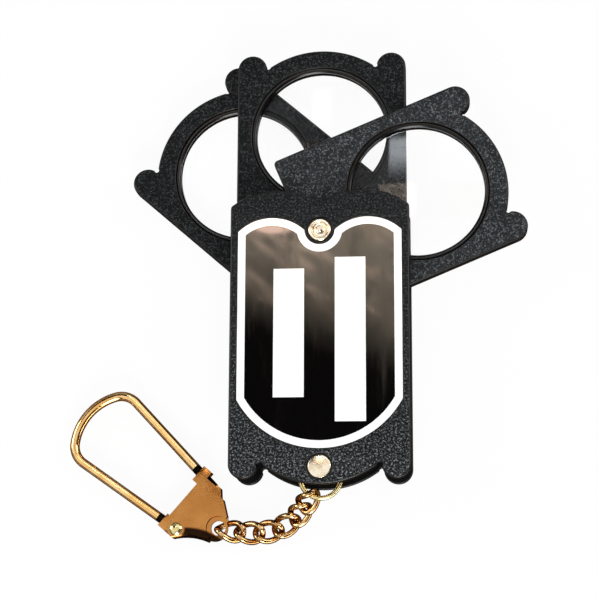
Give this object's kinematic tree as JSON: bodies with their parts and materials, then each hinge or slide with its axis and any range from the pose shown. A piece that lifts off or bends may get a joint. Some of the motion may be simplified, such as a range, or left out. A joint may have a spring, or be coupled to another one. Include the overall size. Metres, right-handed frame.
{
  "type": "folding pocket loupe",
  "caption": "Folding pocket magnifier: framed lenses fan out of a two-cover case on one rivet; a curb chain ends in a riveted wire key snap.",
  "frame": {"origin": "on the back cover's rear face, under the centre of the lenses when they are folded in", "axes": "+Z out of the front cover, +Y along the case towards the pivot rivet, +X to the right seen from the front"},
  "size_m": [0.0959, 0.1044, 0.0127],
  "materials": {
    "case_plastic": "black, grained",
    "frame_plastic": "black, fine grained",
    "label": "glossy black sheet with a white border and blank white panels",
    "lens_glass": "clear, polished",
    "retainer": "black, satin",
    "rivet": "pale gilt, bright",
    "ring_gilt": "pale gilt wire, bright",
    "chain_gilt": "warm gilt, bright",
    "snap_gilt": "gilt sheet, satin",
    "wire_gilt": "gilt wire, bright, with blackened necks"
  },
  "bodies": {
    "case": {"front_cover": "case_plastic", "label_plate": "label", "back_cover": "case_plastic", "pivot_rivet": "rivet", "post_rivet": "rivet", "spacer_sleeve": "rivet", "friction_washer_rear": "rivet", "friction_washer_lower": "rivet", "friction_washer_upper": "rivet", "friction_washer_front": "rivet"},
    "frame_front": {"lens_frame_front": "frame_plastic", "lens_front": "lens_glass", "retaining_ring_front": "retainer"},
    "frame_middle": {"lens_frame_middle": "frame_plastic", "lens_middle": "lens_glass", "retaining_ring_middle": "retainer"},
    "frame_rear": {"lens_frame_rear": "frame_plastic", "lens_rear": "lens_glass", "retaining_ring_rear": "retainer"},
    "ring": {"jump_ring": "ring_gilt"},
    "link_1": {"chain_link_1": "chain_gilt"},
    "link_2": {"chain_link_2": "chain_gilt"},
    "link_3": {"chain_link_3": "chain_gilt"},
    "link_4": {"chain_link_4": "chain_gilt"},
    "link_5": {"chain_link_5": "chain_gilt"},
    "link_6": {"chain_link_6": "chain_gilt"},
    "snap": {"snap_plate": "snap_gilt", "snap_rivet": "ring_gilt"},
    "loop": {"snap_loop": "wire_gilt"}
  },
  "joints": [
    {"name": "frame_front_swing", "type": "hinge", "parent": "case", "child": "frame_front", "pos_m": [0, 0.022, 0.0063], "axis": [0, 0, 1], "range_deg": [-112, 248]},
    {"name": "frame_middle_swing", "type": "hinge", "parent": "case", "child": "frame_middle", "pos_m": [0, 0.022, 0.0063], "axis": [0, 0, 1], "range_deg": [-180, 180]},
    {"name": "frame_rear_swing", "type": "hinge", "parent": "case", "child": "frame_rear", "pos_m": [0, 0.022, 0.0063], "axis": [0, 0, 1], "range_deg": [-229, 131]},
    {"name": "ring_swing", "type": "hinge", "parent": "case", "child": "ring", "pos_m": [0, -0.0269, 0.007], "axis": [0, 0, 1], "range_deg": [-12, 60]},
    {"name": "link_1_swing", "type": "hinge", "parent": "ring", "child": "link_1", "pos_m": [-0.00216, -0.03226, 0.007], "axis": [0, 0, 1], "range_deg": [0, 20]},
    {"name": "link_2_swing", "type": "hinge", "parent": "link_1", "child": "link_2", "pos_m": [-0.00373, -0.03438, 0.00462], "axis": [0, 0, 1], "range_deg": [-1, 30]},
    {"name": "link_3_swing", "type": "hinge", "parent": "link_2", "child": "link_3", "pos_m": [-0.0059, -0.03667, 0.00216], "axis": [0, 0, 1], "range_deg": [-1, 20]},
    {"name": "link_4_swing", "type": "hinge", "parent": "link_3", "child": "link_4", "pos_m": [-0.00927, -0.03873, 0.00154], "axis": [0, 0, 1], "range_deg": [-1, 20]},
    {"name": "link_5_swing", "type": "hinge", "parent": "link_4", "child": "link_5", "pos_m": [-0.01321, -0.03939, 0.00175], "axis": [0, 0, 1], "range_deg": [-1, 15]},
    {"name": "link_6_swing", "type": "hinge", "parent": "link_5", "child": "link_6", "pos_m": [-0.01719, -0.03922, 0.00209], "axis": [0, 0, 1], "range_deg": [-1, 10]},
    {"name": "snap_swing", "type": "hinge", "parent": "link_6", "child": "snap", "pos_m": [-0.02154, -0.0384, 0.0025], "axis": [0, 0, 1], "range_deg": [-1, 8]},
    {"name": "loop_open", "type": "hinge", "parent": "snap", "child": "loop", "pos_m": [-0.03025, -0.0386, 0.0025], "axis": [0, 0, 1], "range_deg": [0, 35]}
  ]
}
